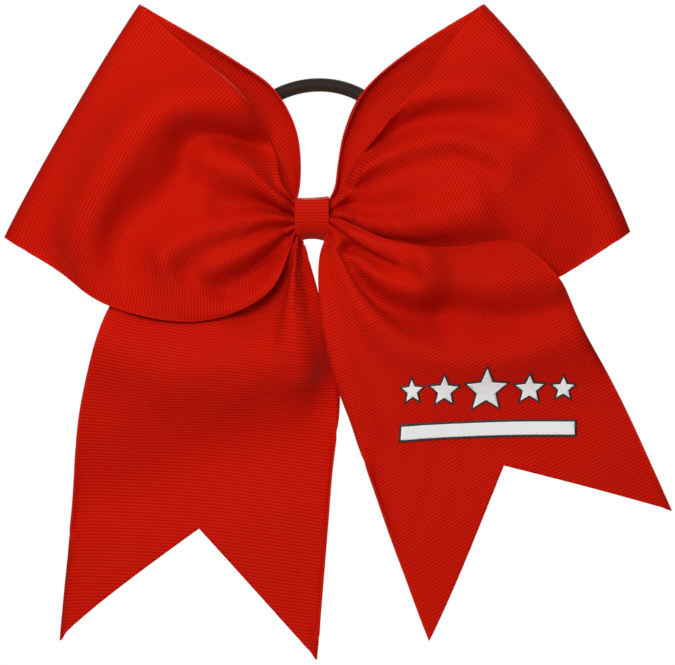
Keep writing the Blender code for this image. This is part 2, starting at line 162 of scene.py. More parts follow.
LEFT_TAIL = {
    "low": [(-3.6, -4.6), (-2.2, -7.6), (-0.2, -14.5), (2, -22.5), (7.3, -44.4), (5.1, -74.8), (1.1, -124.3)],
    "high": [(-4.6, 4.6), (-30, -6), (-50, -17), (-56.5, -25), (-64.7, -52), (-67.5, -82.4), (-70.6, -118.9)],
    "heading": (-0.355, -0.935), "taken": 8.0,
    "depths": [(-5, 0), (0, 0), (14, -1), (40, -3), (60, -3), (90, -1), (125, -1)],
    "pleats": (0, 0.2, 0.32, 0.45, 0.6, 0.8, 1),
    "folds": [
        (4.0, 2, 5, [(-4.6, -7), (-4.6, -22), (-4, -40)]),
        (-2.0, 2, 5, [(-0.4, -8), (2, -20), (6, -40)]),
        (-3.0, 3, 6, [(-9, -14), (-15, -24)]),
        (6.0, 12, 12, [(-60, -33), (-45, -35.7), (-31, -37), (-17, -35.7), (-2, -33)]),
        (-6.0, 16, 16, [(10, -50), (-10, -60.5), (-30, -67), (-50, -77), (-66, -82)]),
    ],
}
RIGHT_TAIL = {
    "low": [(4.6, -4.6), (3.8, -6.4), (2.3, -11.3), (2.4, -22.5), (7.3, -44.4), (19, -80), (32.3, -118.7)],
    "high": [(4.6, 0.8), (24.7, -7.4), (38.8, -8.6), (57, -7.2), (68.9, -16.9), (75.4, -31.5),
             (86.6, -51.2), (100.4, -82.1)],
    "heading": (0.582, -0.813), "taken": 8.0,
    "depths": [(-5, -2.9), (0, -2.9), (10, -8), (30, -12.5), (52, -12), (75, -10), (130, -8)],
    "pleats": (0, 0.3, 0.5, 0.66, 0.82, 1),
    "folds": [
        (3.0, 2, 5, [(7, -3), (13.5, -7.5), (21.4, -12.8), (28, -15.5)]),
        (-2.5, 1.5, 2.5, [(7, -5.5), (12, -10.5), (16, -13.5), (19, -14.5)]),
        (3.0, 2, 4, [(11.5, -12), (15.5, -16), (21.4, -20), (27.3, -20.5), (32, -19)]),
        (-4.0, 2, 5, [(9.5, -10), (12, -17), (17.4, -23.5), (25, -26.5), (33, -25.5)]),
        (3.5, 3, 6, [(30, -15), (37, -16), (45, -16.2), (60, -16), (68, -17.5)]),
        (-3.0, 4, 6, [(34, -24), (45, -24.5), (60, -25), (72, -24)]),
        (4.0, 2.5, 8, [(6, -6), (8.5, -16), (12, -25), (22, -33), (37, -36), (54, -36.5), (72, -33)]),
        (-2.0, 16, 18, [(8, -62), (30, -62), (60, -56), (86, -48)]),
    ],
}

# Centre wrap: its path round the knot, as (y, z)
WRAP_WIDTH = 9.6
WRAP_HALF_THICK = 0.22
WRAP_PATH = [(9.1, 3.0), (9.1, -1.5), (8.7, -4.3), (6.8, -5.3), (1.2, -5.3), (-0.6, -5.0), (-2.3, -4.2),
             (-3.8, -2.8), (-4.8, -0.8), (-5.1, 1.2), (-4.9, 2.9), (-4.1, 4.5), (-1.6, 5.3), (4, 5.3),
             (8.4, 5.2), (9.75, 4.2), (10.05, 1.5), (10.05, -3.0)]
WRAP_RIB = 0.86
WRAP_STEP = WRAP_RIB / 6
WRAP_COLUMNS = 32
WRAP_END_GAP = 0.15
WRAP_EDGE = 0.35              # width of the plain woven edge
WRAP_ROUNDING = (0.25, 0.16)  # width and depth to which the edge's corner is rounded
WRAP_FLARE = 0.25             # how far its edges are pushed out all round
WRAP_FLARE_BELOW = 1.2        # and how much further under the knot, in front of WRAP_BELOW_Y
WRAP_BELOW_Y = 6.0
WRAP_SLANT = 0.045

# Gathered middle of the ribbon
CORE_HALF = (4.3, 3.9, 4.5)
CORE_WAIST = 0.68
CORE_WAIST_HALF = 2.0
CORE_PLEATS = 11
CORE_PLEAT_DEPTH = 0.16

# Bead of glue at the wrap's outer end
GLUE_HALF_LENGTH = 3.9
GLUE_PLACE = (9.83, -3.72)
GLUE_FLATTENED = 1.25

# Hair tie
TIE_RADIUS = 1.95
TIE_WALL = 0.62
TIE_HALF_WIDTH = 22.4
TIE_HEIGHT = 39.6
TIE_TILT = math.radians(14)
TIE_LEAN = 2.0                # how far its top stands to the right
TIE_Y = 6.5
TIE_EXIT_X = 5.4
TIE_END_X = 2.5
TIE_SET_BACK = 1.2
TIE_STEPS = 44
TIE_RINGS = 720
TIE_SIDES = 36
BRAID_STRANDS = 8
BRAID_PITCH = 9.0             # length in which a strand goes once round
BRAID_HEIGHT = 0.09

# Printed film on the right tail
PRINT_CENTRE = (48.5, -50.5)
PRINT_START = (70.0, 0.0)     # flat position at which the search for the centre starts
STAR_RADII = (3.3, 4.3, 6.4, 4.3, 3.3)
STAR_GAP = 0.45
STAR_WAIST = 0.46
STAR_HEIGHT = 2.6
BAR_SIZE = (52.0, 3.6)
BAR_DROP = -8.6
OUTLINE_MARGIN = 0.6
TIP_GROWTH = 1.9              # a star's tip moves out by this times the margin
FILM_HALF = 0.05
FILM_LIFTS = {"outline": 0.40, "face": 0.53}
FILM_STEPS = (RIBBON_STEP, 1.3)
FILM_RIBS = 0.35              # share of the ribs' height that shows through the film

# Studio, in metres in the CAD frame
CAMERA_DISTANCE = 1.2
CAMERA_X, CAMERA_Z = 0.0072, -0.0322
VIEW_WIDTH = 0.1898
SENSOR_WIDTH = 36
LIGHTS = [                    # name, place, size, power, aim
    ("key", (-0.09, -0.43, 0.13), 0.2, 1.5, (0, 0, -0.02)),
    ("top", (0.0, -0.2, 0.25), 0.15, 0.17, (0, 0, -0.02)),
    ("back", (0.15, 0.6, 0.4), 0.5, 4.0, (0, 0, -0.03)),
]
SURROUND = 0.14               # strength of the light from all round
FLOOR_RADIUS, FLOOR_Z = 0.3, -0.175


def to_frame(points):
    """Points about the knot's centre in millimetres, in metres in the CAD frame."""
    return np.asarray(points, float) * MM + KNOT


# -------------------- smooth lines and waves

def smooth_path(points, steps=14):
    """Points along a centripetal curve through the given ones."""
    p = [np.array(q, float) for q in points]
    p = [2 * p[0] - p[1]] + p + [2 * p[-1] - p[-2]]
    path = [p[1]]
    for a, b, c, d in zip(p, p[1:], p[2:], p[3:]):
        t = np.cumsum([0] + [math.sqrt(np.linalg.norm(y - x)) for x, y in ((a, b), (b, c), (c, d))])
        for u in np.linspace(t[1], t[2], steps + 1)[1:]:
            ab = a + (b - a) * (u - t[0]) / (t[1] - t[0])
            bc = b + (c - b) * (u - t[1]) / (t[2] - t[1])
            cd = c + (d - c) * (u - t[2]) / (t[3] - t[2])
            abc = ab + (bc - ab) * (u - t[0]) / (t[2] - t[0])
            bcd = bc + (cd - bc) * (u - t[1]) / (t[3] - t[1])
            path.append(abc + (bcd - abc) * (u - t[1]) / (t[2] - t[1]))
    return np.array(path)


def distances(path):
    """Distance along a path to each of its points."""
    return np.concatenate([[0], np.cumsum(np.linalg.norm(np.diff(path, axis=0), axis=1))])


def round_angles(count):
    return np.linspace(0, 2 * math.pi, count, endpoint=False)


def unit(vectors):
    return vectors / np.maximum(np.linalg.norm(vectors, axis=1, keepdims=True), 1e-9)


class Edge:
    """A smooth edge in the XZ plane, looked up by share of its length."""

    def __init__(self, points):
        self.path = smooth_path(points)
        self.along = distances(self.path)
        self.length = self.along[-1]

    def at(self, share):
        want = np.clip(share, 0, 1) * self.length
        return np.stack([np.interp(want, self.along, self.path[:, k]) for k in (0, 1)], -1)


def fade(value, end):
    """0 at 0, rising smoothly to 1 at end."""
    t = np.clip(value / end, 0, 1)
    return t * t * (3 - 2 * t)


def crest_field(places, folds):
    """Depth that the folds give at places, negative towards the viewer."""
    depth = np.zeros(places.shape[:-1])
    for height, near, far, line in folds:
        path = smooth_path(line, 6)
        along = np.linspace(0, 1, len(path))
        away = np.linalg.norm(places[..., None, :] - path, axis=-1)
        width = near + (far - near) * along[away.argmin(-1)]
        depth -= FOLD_SCALE * height * np.exp(-(away.min(-1) / width) ** 2)
    return depth


def pleat_depth(share, run, stops, deepen, die_away):
    """Depth of the pleats: forward at the first stop across the width, back at the second, and so on."""
    wave = -np.cos(math.pi * np.interp(share, stops, range(len(stops))))
    return PLEAT_HEIGHT * (1 + deepen * run) * math.exp(-die_away * run) * wave


def free_length(ends, share):
    """Length from the knot at a share of the width: it takes in more of the middle than of the edges."""
    low, high, taken = ends
    return low + (high - low) * share - taken * 4 * share * (1 - share)


def gathered_flat(row, width, run, reach):
    """Flat positions across a row: as pleated at the knot, and the full width from reach on."""
    along = distances(row)
    pleated = along - along[-1] / 2
    return pleated + (width - pleated) * fade(run, reach)


def fan_row(low, high, taken, share, run):
    """Places across the cloth at a share of the way out. Near the knot the threads fan out at their
    true length, so a row is an arc round the knot; further out a row runs straight from edge to edge.
    """
    begin = low.at(0) + (high.at(0) - low.at(0)) * share[:, None]
    end = low.at(1) + (high.at(1) - low.at(1)) * share[:, None]
    power = 1 + FAN_SPREAD * (1 - fade(run, FAN_REACH))
    near_low, near_high = (1 - share) ** power, share ** power
    length = free_length((low.length, high.length, taken), share)
    chord = np.linalg.norm(end - begin, axis=1)
    slack = np.maximum(length / chord - 1, 0) * (1 - near_low - near_high)
    ahead = run + slack * run * (1 - run) ** 2
    place = begin + (end - begin) * ahead[:, None]
    for edge, near in ((low, near_low), (high, near_high)):
        straight = edge.at(0) + (edge.at(1) - edge.at(0)) * run
        place = place + (edge.at(run) - straight) * near[:, None]
    return place


# -------------------- relaxing a sheet

def held_pairs(rows, columns):
    """Pairs of grid points with a kind, in groups in which no point is used twice."""
    index = np.arange(rows * columns).reshape(rows, columns)
    found = []
    for di, dj, kind in ((1, 0, "stretch"), (0, 1, "stretch"), (1, 1, "shear"), (1, -1, "shear"),
                         (2, 0, "bend along"), (0, 2, "bend across"), (4, 0, "bend along"),
                         (0, 4, "bend across")):
        first = index[:rows - di, max(-dj, 0):columns - max(dj, 0)].ravel()
        second = index[di:, max(dj, 0):columns + min(dj, 0)].ravel()
        i, j = np.divmod(first, columns)
        reach = max(abs(di), abs(dj))
        parity = (i // reach if di else j // reach) % 2
        for k in (0, 1):
            found.append((kind, first[parity == k], second[parity == k]))
    return found


def relax(grid, flat, pinned, pull, ease, limit):
    """Moves the grid until its cells have their flat sizes; pull draws points back to where they began.

    ease is how strongly the cloth resists bending across its width: 0 in the tight pleats at the knot.
    limit moves the points out of what they may not enter.
    """
    rows, columns, _ = grid.shape
    points = grid.reshape(-1, 3).copy()
    target = points.copy()
    sizes = flat.reshape(-1, 2)
    free = (~pinned.ravel()).astype(float)
    every = np.ones(rows * columns)
    strength = {"stretch": every, "shear": SHEAR * every,
                "bend along": BEND * every, "bend across": BEND * ease.ravel()}
    holds = []
    for kind, a, b in held_pairs(rows, columns):
        rest = np.linalg.norm(sizes[a] - sizes[b], axis=1)
        share = strength[kind][a] / np.maximum(free[a] + free[b], 1e-9)
        holds.append((kind, a, b, rest, (share * free[a])[:, None], (share * free[b])[:, None]))
    draw = pull.reshape(-1, 3) * free[:, None]
    even = SMOOTH * free.reshape(rows, columns, 1)
    for step in range(RELAX_STEPS):
        for kind, a, b, rest, move_a, move_b in holds:
            between = points[b] - points[a]
            length = np.sqrt((between * between).sum(1)) + 1e-9
            excess = (length - rest) / length
            if kind.startswith("bend"):
                excess = np.minimum(excess, 0)
            change = between * excess[:, None]
            points[a] += change * move_a
            points[b] -= change * move_b
        cells = points.reshape(rows, columns, 3)
        spread = np.zeros_like(cells)
        spread[1:-1] += cells[2:] + cells[:-2] - 2 * cells[1:-1]
        spread[:, 1:-1] += cells[:, 2:] + cells[:, :-2] - 2 * cells[:, 1:-1]
        points = (cells + spread * even).reshape(-1, 3)
        points += (target - points) * draw
        limit(points, step)
    return points.reshape(rows, columns, 3)


def comb(grid, start, weight):
    """Evens out how far the threads have moved from start, so that folds run out from the knot smoothly."""
    moved = grid - start
    weight = weight[1:-1, :, None]
    for _ in range(COMB_PASSES):
        moved[1:-1] += weight * ((moved[2:] + moved[:-2]) / 2 - moved[1:-1])
    return start + moved


def settle(grid, flat, share, runs, pinned, ease_from, limit, fold=None):
    """Relaxes and combs the grid. Its edges, its fold and its pleats near the knot keep their place."""
    near = (1 - fade(runs, NEAR_KNOT))[:, None]
    from_edge = np.minimum(share, 1 - share)
    aside = EDGE_PULL * np.exp(-(from_edge / EDGE_REACH) ** 2)
    aside = aside + NEAR_EDGE_PULL * near * np.exp(-(from_edge / NEAR_EDGE_REACH) ** 2)
    pull = np.stack([aside, np.broadcast_to(DEPTH_PULL + NEAR_DEPTH_PULL * near, aside.shape), aside], -1)
    if fold is not None:
        pull[fold] = FOLD_PULL
    ease = np.ones(grid.shape[:2]) * fade(runs, ease_from)[:, None]
    relaxed = relax(grid, flat, pinned, pull, ease, limit)
    return comb(relaxed, grid, np.where(pinned, 0, (1 - fade(runs, COMB_REACH))[:, None]))


class Layer:
    """A relaxed sheet as a surface that other cloth is kept in front of or behind."""

    def __init__(self, grid):
        rows, columns, _ = grid.shape
        index = np.arange(rows * columns).reshape(rows, columns)
        quads = np.stack([index[:-1, :-1], index[1:, :-1], index[1:, 1:], index[:-1, 1:]], -1)
        self.tree = BVHTree.FromPolygons(grid.reshape(-1, 3).tolist(), quads.reshape(-1, 4).tolist())

    def keep(self, points, side):
        """Moves points along Y to LAYER_GAP behind (side 1) or in front (side -1) of the layer."""
        for point in points:
            hit = self.tree.ray_cast(Vector((point[0], side * FAR, point[2])), Vector((0, -side, 0)))[0]
            if hit is not None and (point[1] - hit.y) * side < LAYER_GAP:
                point[1] = hit.y + side * LAYER_GAP


def clear_of_tie(points, step):
    """Keeps the cloth in front of the hair tie's ring."""
    beside = np.maximum(np.abs(points[:, 0]) - TIE_ROOM_HALF_WIDTH, 0)
    beside += np.maximum(TIE_ROOM_LOW - points[:, 2], 0)
    beside += np.maximum(points[:, 2] - TIE_ROOM_HIGH, 0)
    np.minimum(points[:, 1], TIE_ROOM_Y + beside * TIE_ROOM_SLOPE, out=points[:, 1])


def between_layers(behind, before):
    """A limit that keeps cloth behind some layers and in front of others."""
    def limit(points, step):
        clear_of_tie(points, step)
        if step % LAYER_EVERY == LAYER_EVERY - 1:
            for layer in behind:
                layer.keep(points, 1)
            for layer in before:
                layer.keep(points, -1)
    return limit


# -------------------- ribbon stretches

def cubic_weights(t):
    return (0.5 * (-t + 2 * t * t - t ** 3), 0.5 * (2 - 5 * t * t + 3 * t ** 3),
            0.5 * (t + 4 * t * t - 3 * t ** 3), 0.5 * (-t * t + t ** 3))


class Stretch:
    """A relaxed stretch of ribbon: a map from flat ribbon coordinates to its place.

    along is millimetres from the fold or from the tips, across is millimetres from the middle.
    """

    def __init__(self, grid, lengths, folded):
        self.grid = grid
        self.lengths = lengths
        self.folded = folded

    def cut_size(self):
        """Width, greatest length and area of the flat ribbon, in millimetres."""
        share = np.linspace(0, 1, 401)
        reach = sum(free_length(ends, share) for ends in self.lengths)
        notch = 0 if self.folded else HALF_WIDTH * NOTCH_DEPTH
        return 2 * HALF_WIDTH, reach.max(), reach.mean() * 2 * HALF_WIDTH - notch

    def reach(self, along, across):
        """Distance from fold or tips to the knot, measured along the ribbon."""
        share = (across / HALF_WIDTH + 1) / 2
        front = free_length(self.lengths[0], share)
        if not self.folded:
            return front
        return np.where(along <= 0, front, free_length(self.lengths[1], share))

    def at(self, along, across):
        """Places on the relaxed grid, by cubic interpolation."""
        from_knot = 1 - np.abs(along) / self.reach(along, across)
        u = from_knot
        if self.folded:
            u = np.where(along <= 0, from_knot / 2, 1 - from_knot / 2)
        rows, columns, _ = self.grid.shape
        row = np.clip(u, 0, 1) * (rows - 1)
        column = np.clip((across / HALF_WIDTH + 1) / 2, 0, 1) * (columns - 1)
        i = np.minimum(row.astype(int), rows - 2)
        j = np.minimum(column.astype(int), columns - 2)
        total = np.zeros((len(along), 3))
        for di, wi in enumerate(cubic_weights(row - i)):
            ii = np.clip(i + di - 1, 0, rows - 1)
            for dj, wj in enumerate(cubic_weights(column - j)):
                jj = np.clip(j + dj - 1, 0, columns - 1)
                total += self.grid[ii, jj] * (wi * wj)[:, None]
        return total

    def out(self, along, across):
        return surface_normals(self.at, along, across, 0.4, 0.4)


def surface_normals(place, along, across, step_along, step_across):
    """Unit normals of the surface that place gives, on the printed side of the ribbon."""
    ahead = place(along + step_along, across) - place(along - step_along, across)
    aside = place(along, across + step_across) - place(along, across - step_across)
    return unit(np.cross(ahead, aside))


def relaxed_loop(loop):
    """A loop: out along the front, round the fold and back behind."""
    edges = {name: Edge(loop[name]) for name in ("front_low", "front_high", "back_low", "back_high")}
    lengths = [(edges[side + "_low"].length, edges[side + "_high"].length, loop[side + "_taken"])
               for side in ("front", "back")]
    v = np.linspace(-1, 1, SHEET_COLUMNS)
    share = (v + 1) / 2
    fold = np.array(loop["front_high"][-1]) - np.array(loop["front_low"][-1])
    outward = np.array([-fold[1], fold[0]]) / np.linalg.norm(fold)
    if outward[0] * loop["front_low"][-1][0] < 0:
        outward = -outward
    rows = 2 * LOOP_ROWS + 1
    grid = np.zeros((rows, SHEET_COLUMNS, 3))
    flat = np.zeros((rows, SHEET_COLUMNS, 2))
    for i, u in enumerate(np.linspace(0, 1, rows)):
        side, sign = ("front", -1) if u <= 0.5 else ("back", 1)
        run = 1 - abs(1 - 2 * u)
        place = fan_row(edges[side + "_low"], edges[side + "_high"], loop[side + "_taken"], share, run)
        place = place + outward * loop["fold_bow"] * run * run * (1 - v * v)[:, None]
        rest = loop[side + "_y"] + (loop["fold_y"] - loop[side + "_y"]) * run
        swell = SWELL_SCALE * run * (1 - run) ** 0.75 * (1 - 0.6 * v * v) * loop[side + "_swell"]
        depth = rest + sign * swell + pleat_depth(share, run, loop[side + "_pleats"], *LOOP_PLEATS)
        if side == "front":
            shown = min(run * LOOP_FOLDS_RISE, 1) * min((1 - run) * LOOP_FOLDS_FALL, 1)
            depth = depth + crest_field(place, loop["folds"]) * shown
        grid[i] = np.stack([place[:, 0], depth, place[:, 1]], -1)
        length = free_length(lengths[side == "back"], share)
        width = gathered_flat(grid[i], v * HALF_WIDTH, run, LOOP_GATHER)
        flat[i] = np.stack([sign * (1 - run) * length, width], -1)
    runs = 1 - np.abs(1 - 2 * np.linspace(0, 1, rows))
    pinned = np.zeros(grid.shape[:2], bool)
    pinned[:2] = pinned[-2:] = True
    grid = settle(grid, flat, share, runs, pinned, LOOP_EASE, clear_of_tie, fold=LOOP_ROWS)
    return Stretch(grid, lengths, True)


def relaxed_tail(tail, behind, before):
    """A tail: from the knot down to its two tips, kept behind and before the given layers."""
    low, high = Edge(tail["low"]), Edge(tail["high"])
    lengths = [(low.length, high.length, tail["taken"])]
    depths = smooth_path(tail["depths"])
    knot_y = tail["depths"][0][1]
    v = np.linspace(-1, 1, SHEET_COLUMNS)
    share = (v + 1) / 2
    runs = np.linspace(0, 1, TAIL_ROWS + 1)
    grid = np.zeros((TAIL_ROWS + 1, SHEET_COLUMNS, 3))
    flat = np.zeros((TAIL_ROWS + 1, SHEET_COLUMNS, 2))
    for i, run in enumerate(runs):
        place = fan_row(low, high, tail["taken"], share, run)
        depth = np.interp(place @ np.array(tail["heading"]), depths[:, 0], depths[:, 1])
        depth = depth + crest_field(place, tail["folds"])
        depth = knot_y + (depth - knot_y) * min(run * TAIL_FOLDS_RISE, 1)
        depth = depth + pleat_depth(share, run, tail["pleats"], *TAIL_PLEATS)
        grid[i] = np.stack([place[:, 0], depth, place[:, 1]], -1)
        width = gathered_flat(grid[i], v * HALF_WIDTH, run, TAIL_GATHER)
        flat[i] = np.stack([(1 - run) * free_length(lengths[0], share), width], -1)
    pinned = np.zeros(grid.shape[:2], bool)
    pinned[:2] = True
    grid = settle(grid, flat, share, runs, pinned, TAIL_EASE, between_layers(behind, before))
    return Stretch(grid, lengths, False)


# -------------------- ribbon meshes

def across_place(y, half_width=HALF_WIDTH):
    """Place across a ribbon for y from -1 to 1: the columns lie closer together at its edges."""
    return half_width * y * (1.35 - 0.35 * y * y)


def flat_grid(low, high, step, half_width=HALF_WIDTH, columns=COLUMNS):
    """A flat bmesh of ribbon, x along it and y across it."""
    rows = int(round((high - low) / step))
    bm = bmesh.new()
    bmesh.ops.create_grid(bm, x_segments=rows, y_segments=columns, size=1)
    for vertex in bm.verts:
        x, y = vertex.co.x, vertex.co.y
        vertex.co = (low + (x + 1) / 2 * (high - low), across_place(y, half_width), 0)
    return bm


def cut(bm, point, normal, keep):
    """Cuts the faces that keep() picks along a line, and removes what is on the normal's side of it."""
    faces = [f for f in bm.faces if keep(f.calc_center_median())]
    parts = set(faces)
    parts.update(e for f in faces for e in f.edges)
    parts.update(v for f in faces for v in f.verts)
    bmesh.ops.bisect_plane(bm, geom=list(parts), plane_co=(*point, 0), plane_no=(*normal, 0), dist=1e-5)
    point, normal = Vector(point), Vector(normal)
    gone = []
    for face in bm.faces:
        middle = face.calc_center_median()
        if keep(middle) and (middle.xy - point).dot(normal) > 0:
            gone.append(face)
    bmesh.ops.delete(bm, geom=gone, context="FACES")


def cut_at_knot(bm, ends, sign):
    """Cuts the flat mesh along the gathered line, strip by strip across the ribbon."""
    for j in range(0, COLUMNS, GATHER_STRIP):
        low, high = (across_place(2 * k / COLUMNS - 1) for k in (j, j + GATHER_STRIP))
        reach = [free_length(ends, (b / HALF_WIDTH + 1) / 2) for b in (low, high)]
        lean = (reach[1] - reach[0]) / (high - low)
        cut(bm, (sign * reach[0], low), Vector((sign, -lean)).normalized(),
            lambda m, low=low, high=high: low < m.y < high and m.x * sign > KNOT_END_FROM)


def cut_dovetail(bm):
    for side in (-1, 1):
        cut(bm, (NOTCH_DEPTH, 0), Vector((-HALF_WIDTH, -side * NOTCH_DEPTH)).normalized(),
            lambda m, side=side: m.y * side > 0 and m.x < NOTCH_END)


def rib_wave(along, pitch):
    return np.abs(np.cos(np.pi * along / pitch)) ** 0.8


def rib_height(along, across):
    """How far the cloth stands out of its middle surface, and its painted shade value, lowest between the
    ribs so that the material paints them darker: rounded ribs, and a plain edge.
    """
    wave = rib_wave(along, RIB_PITCH)
    inside = np.clip((HALF_WIDTH - SELVEDGE - np.abs(across)) / SELVEDGE_BLEND + 1, 0, 1)
    return RIB_HEIGHT * (wave * inside + SELVEDGE_HEIGHT * (1 - inside)), wave * inside + (1 - inside)


def thick_mesh(name, bm, place, out, half=THICK / 2, height=rib_height):
    """A closed cloth mesh: the flat mesh laid by place, with both faces pushed out along out."""
    bm.verts.index_update()
    flat = np.array([v.co[:2] for v in bm.verts])
    faces = [[v.index for v in f.verts] for f in bm.faces]
    rim = []
    for edge in bm.edges:
        if len(edge.link_faces) == 1:
            loop = edge.link_loops[0]
            rim.append((loop.vert.index, loop.link_loop_next.vert.index))
    bm.free()
    middle = place(flat[:, 0], flat[:, 1])
    normal = out(flat[:, 0], flat[:, 1])
    rise, groove_shade = height(flat[:, 0], flat[:, 1])
    offset = normal * (half + rise)[:, None]
    count = len(flat)
    faces += [[i + count for i in reversed(f)] for f in faces]
    faces += [[b, a, a + count, b + count] for a, b in rim]
    mesh = bpy.data.meshes.new(name)
    mesh.from_pydata(to_frame(np.concatenate([middle + offset, middle - offset])).tolist(), [], faces)
    mesh.shade_smooth()
    # Painted shade: the material darkens the cloth between the ribs by this value.
    set_painted_shade(mesh, [groove_shade, groove_shade])
    uv = mesh.uv_layers.new(name="UVMap")
    corner = np.zeros(len(mesh.loops), np.int32)
    mesh.loops.foreach_get("vertex_index", corner)
    uv.data.foreach_set("uv", (flat[corner % count] * UV_SCALE).astype(np.float32).ravel())
    return mesh


def set_painted_shade(mesh, groove_shades):
    """Stores how far each point stands up in the weave, for the material to paint shade by: darker where it
    stands lower.
    """
    painted_groove_shade = mesh.attributes.new("painted_groove_shade", "FLOAT", "POINT")
    painted_groove_shade.data.foreach_set("value", np.concatenate(groove_shades).astype(np.float32))


def add_piece(name, mesh, finish):
    made = bpy.data.objects.new(name, mesh)
    made.data.materials.append(finish)
    bpy.context.scene.collection.objects.link(made)
    return made


def whole_ribs(ends):
    """A length of whole ribs that reaches past the knot end of a stretch."""
    return math.ceil((max(ends[:2]) + 1) / RIB_PITCH) * RIB_PITCH


def ribbon_piece(name, stretch, finish):
    if stretch.folded:
        front, back = (whole_ribs(ends) for ends in stretch.lengths)
        bm = flat_grid(-front, back, RIBBON_STEP)
        for ends, sign in zip(stretch.lengths, (-1, 1)):
            cut_at_knot(bm, ends, sign)
    else:
        bm = flat_grid(0, whole_ribs(stretch.lengths[0]), RIBBON_STEP)
        cut_at_knot(bm, stretch.lengths[0], 1)
        cut_dovetail(bm)
    return add_piece(name, thick_mesh(name, bm, stretch.at, stretch.out), finish)


# -------------------- knot

def wrap_height(along, across):
    """As rib_height, for the narrow ribbon, whose edges are rounded off."""
    wave = rib_wave(along, WRAP_RIB)
    inside = np.clip((WRAP_WIDTH / 2 - WRAP_EDGE - np.abs(across)) / 0.4 + 1, 0, 1)
    edge = np.clip((WRAP_WIDTH / 2 - np.abs(across)) / WRAP_ROUNDING[0], 0, 1)
    rounded = WRAP_ROUNDING[1] * (1 - np.sqrt(edge * (2 - edge)))
    return 0.09 * wave * inside + 0.06 * (1 - inside) - rounded, wave * inside + (1 - inside)


def wrap_piece(name, finish):
    """The narrow ribbon round the knot, cupped where the loops push its edges out."""
    path = smooth_path(WRAP_PATH, 24)
    length = distances(path)

    def place(along, across):
        y = np.interp(along, length, path[:, 0])
        z = np.interp(along, length, path[:, 1])
        below = np.clip(-z / 5, 0, 1) * (y < WRAP_BELOW_Y)
        flare = (across / (WRAP_WIDTH / 2)) ** 2 * (WRAP_FLARE + WRAP_FLARE_BELOW * below)
        reach = np.maximum(np.hypot(y, z), 1)
        slant = WRAP_SLANT * across * np.clip((z - 3) / 2, 0, 1)
        return np.stack([across, y * (1 + 0.3 * flare / reach), z * (1 + flare / reach) + slant], -1)

    def out(along, across):
        return surface_normals(place, along, across, 0.1, 0.05)

    bm = flat_grid(WRAP_END_GAP, length[-1] - WRAP_END_GAP, WRAP_STEP, WRAP_WIDTH / 2, WRAP_COLUMNS)
    return add_piece(name, thick_mesh(name, bm, place, out, WRAP_HALF_THICK, wrap_height), finish)


def finished_mesh(name, points, faces):
    """A smooth closed mesh of points about the knot, its faces turned outwards."""
    mesh = bpy.data.meshes.new(name)
    mesh.from_pydata(to_frame(points).tolist(), [], faces)
    bm = bmesh.new()
    bm.from_mesh(mesh)
    bmesh.ops.recalc_face_normals(bm, faces=bm.faces)
    bm.to_mesh(mesh)
    bm.free()
    mesh.shade_smooth()
    return mesh


def ring_quads(count, sides):
    """Faces between rings of points, one ring after another."""
    i, j = np.meshgrid(np.arange(count - 1), np.arange(sides), indexing="ij")
    k = (j + 1) % sides
    quads = np.stack([i * sides + j, i * sides + k, (i + 1) * sides + k, (i + 1) * sides + j], -1)
    return quads.reshape(-1, 4)


def blob_piece(name, x, sides, y, z, finish):
    """A closed solid of rings about the X direction, its two ends closed to a point."""
    rings = np.stack([np.repeat(x[:, None], sides, 1), y, z], -1)
    count = len(x)
    points = np.concatenate([rings.reshape(-1, 3), rings[0].mean(0)[None], rings[-1].mean(0)[None]])
    faces = ring_quads(count, sides).tolist()
    for j in range(sides):
        k = (j + 1) % sides
        faces.append([count * sides, k, j])
        faces.append([count * sides + 1, (count - 1) * sides + j, (count - 1) * sides + k])
    return add_piece(name, finished_mesh(name, points, faces), finish)


def core_piece(name, finish):
    """The gathered middle of the ribbon, pleated all round and pulled in at its waist."""
    x = np.linspace(-CORE_HALF[0], CORE_HALF[0], 61)
    angle = round_angles(240)
    waist = CORE_WAIST + (1 - CORE_WAIST) * fade(np.abs(x) - CORE_WAIST_HALF, 1.6)
    wave = np.abs(np.sin(CORE_PLEATS * angle / 2 + 0.35 * np.sin(3 * angle))) ** 0.7
    reach = waist[:, None] * (1 - CORE_PLEAT_DEPTH + CORE_PLEAT_DEPTH * wave)[None, :]
    return blob_piece(name, x, len(angle), CORE_HALF[1] * reach * np.cos(angle),
                      CORE_HALF[2] * reach * np.sin(angle), finish)


def glue_piece(name, finish):
    """Hot-melt glue squeezed out along the outer end of the wrap, in three soft blobs."""
    x = np.linspace(-GLUE_HALF_LENGTH, GLUE_HALF_LENGTH, 60)
    angle = round_angles(28)
    ends = np.sqrt(np.maximum(1 - (x / (GLUE_HALF_LENGTH + 0.05)) ** 4, 0.002))
    size = (ends * (0.34 + 0.09 * np.cos(2.6 * x + 0.4) + 0.04 * np.sin(5.3 * x)))[:, None]
    middle_z = (GLUE_PLACE[1] + 0.06 * np.sin(2.1 * x))[:, None]
    return blob_piece(name, x, len(angle), GLUE_PLACE[0] + size * np.cos(angle),
                      middle_z + GLUE_FLATTENED * size * np.sin(angle), finish)


# -------------------- hair tie

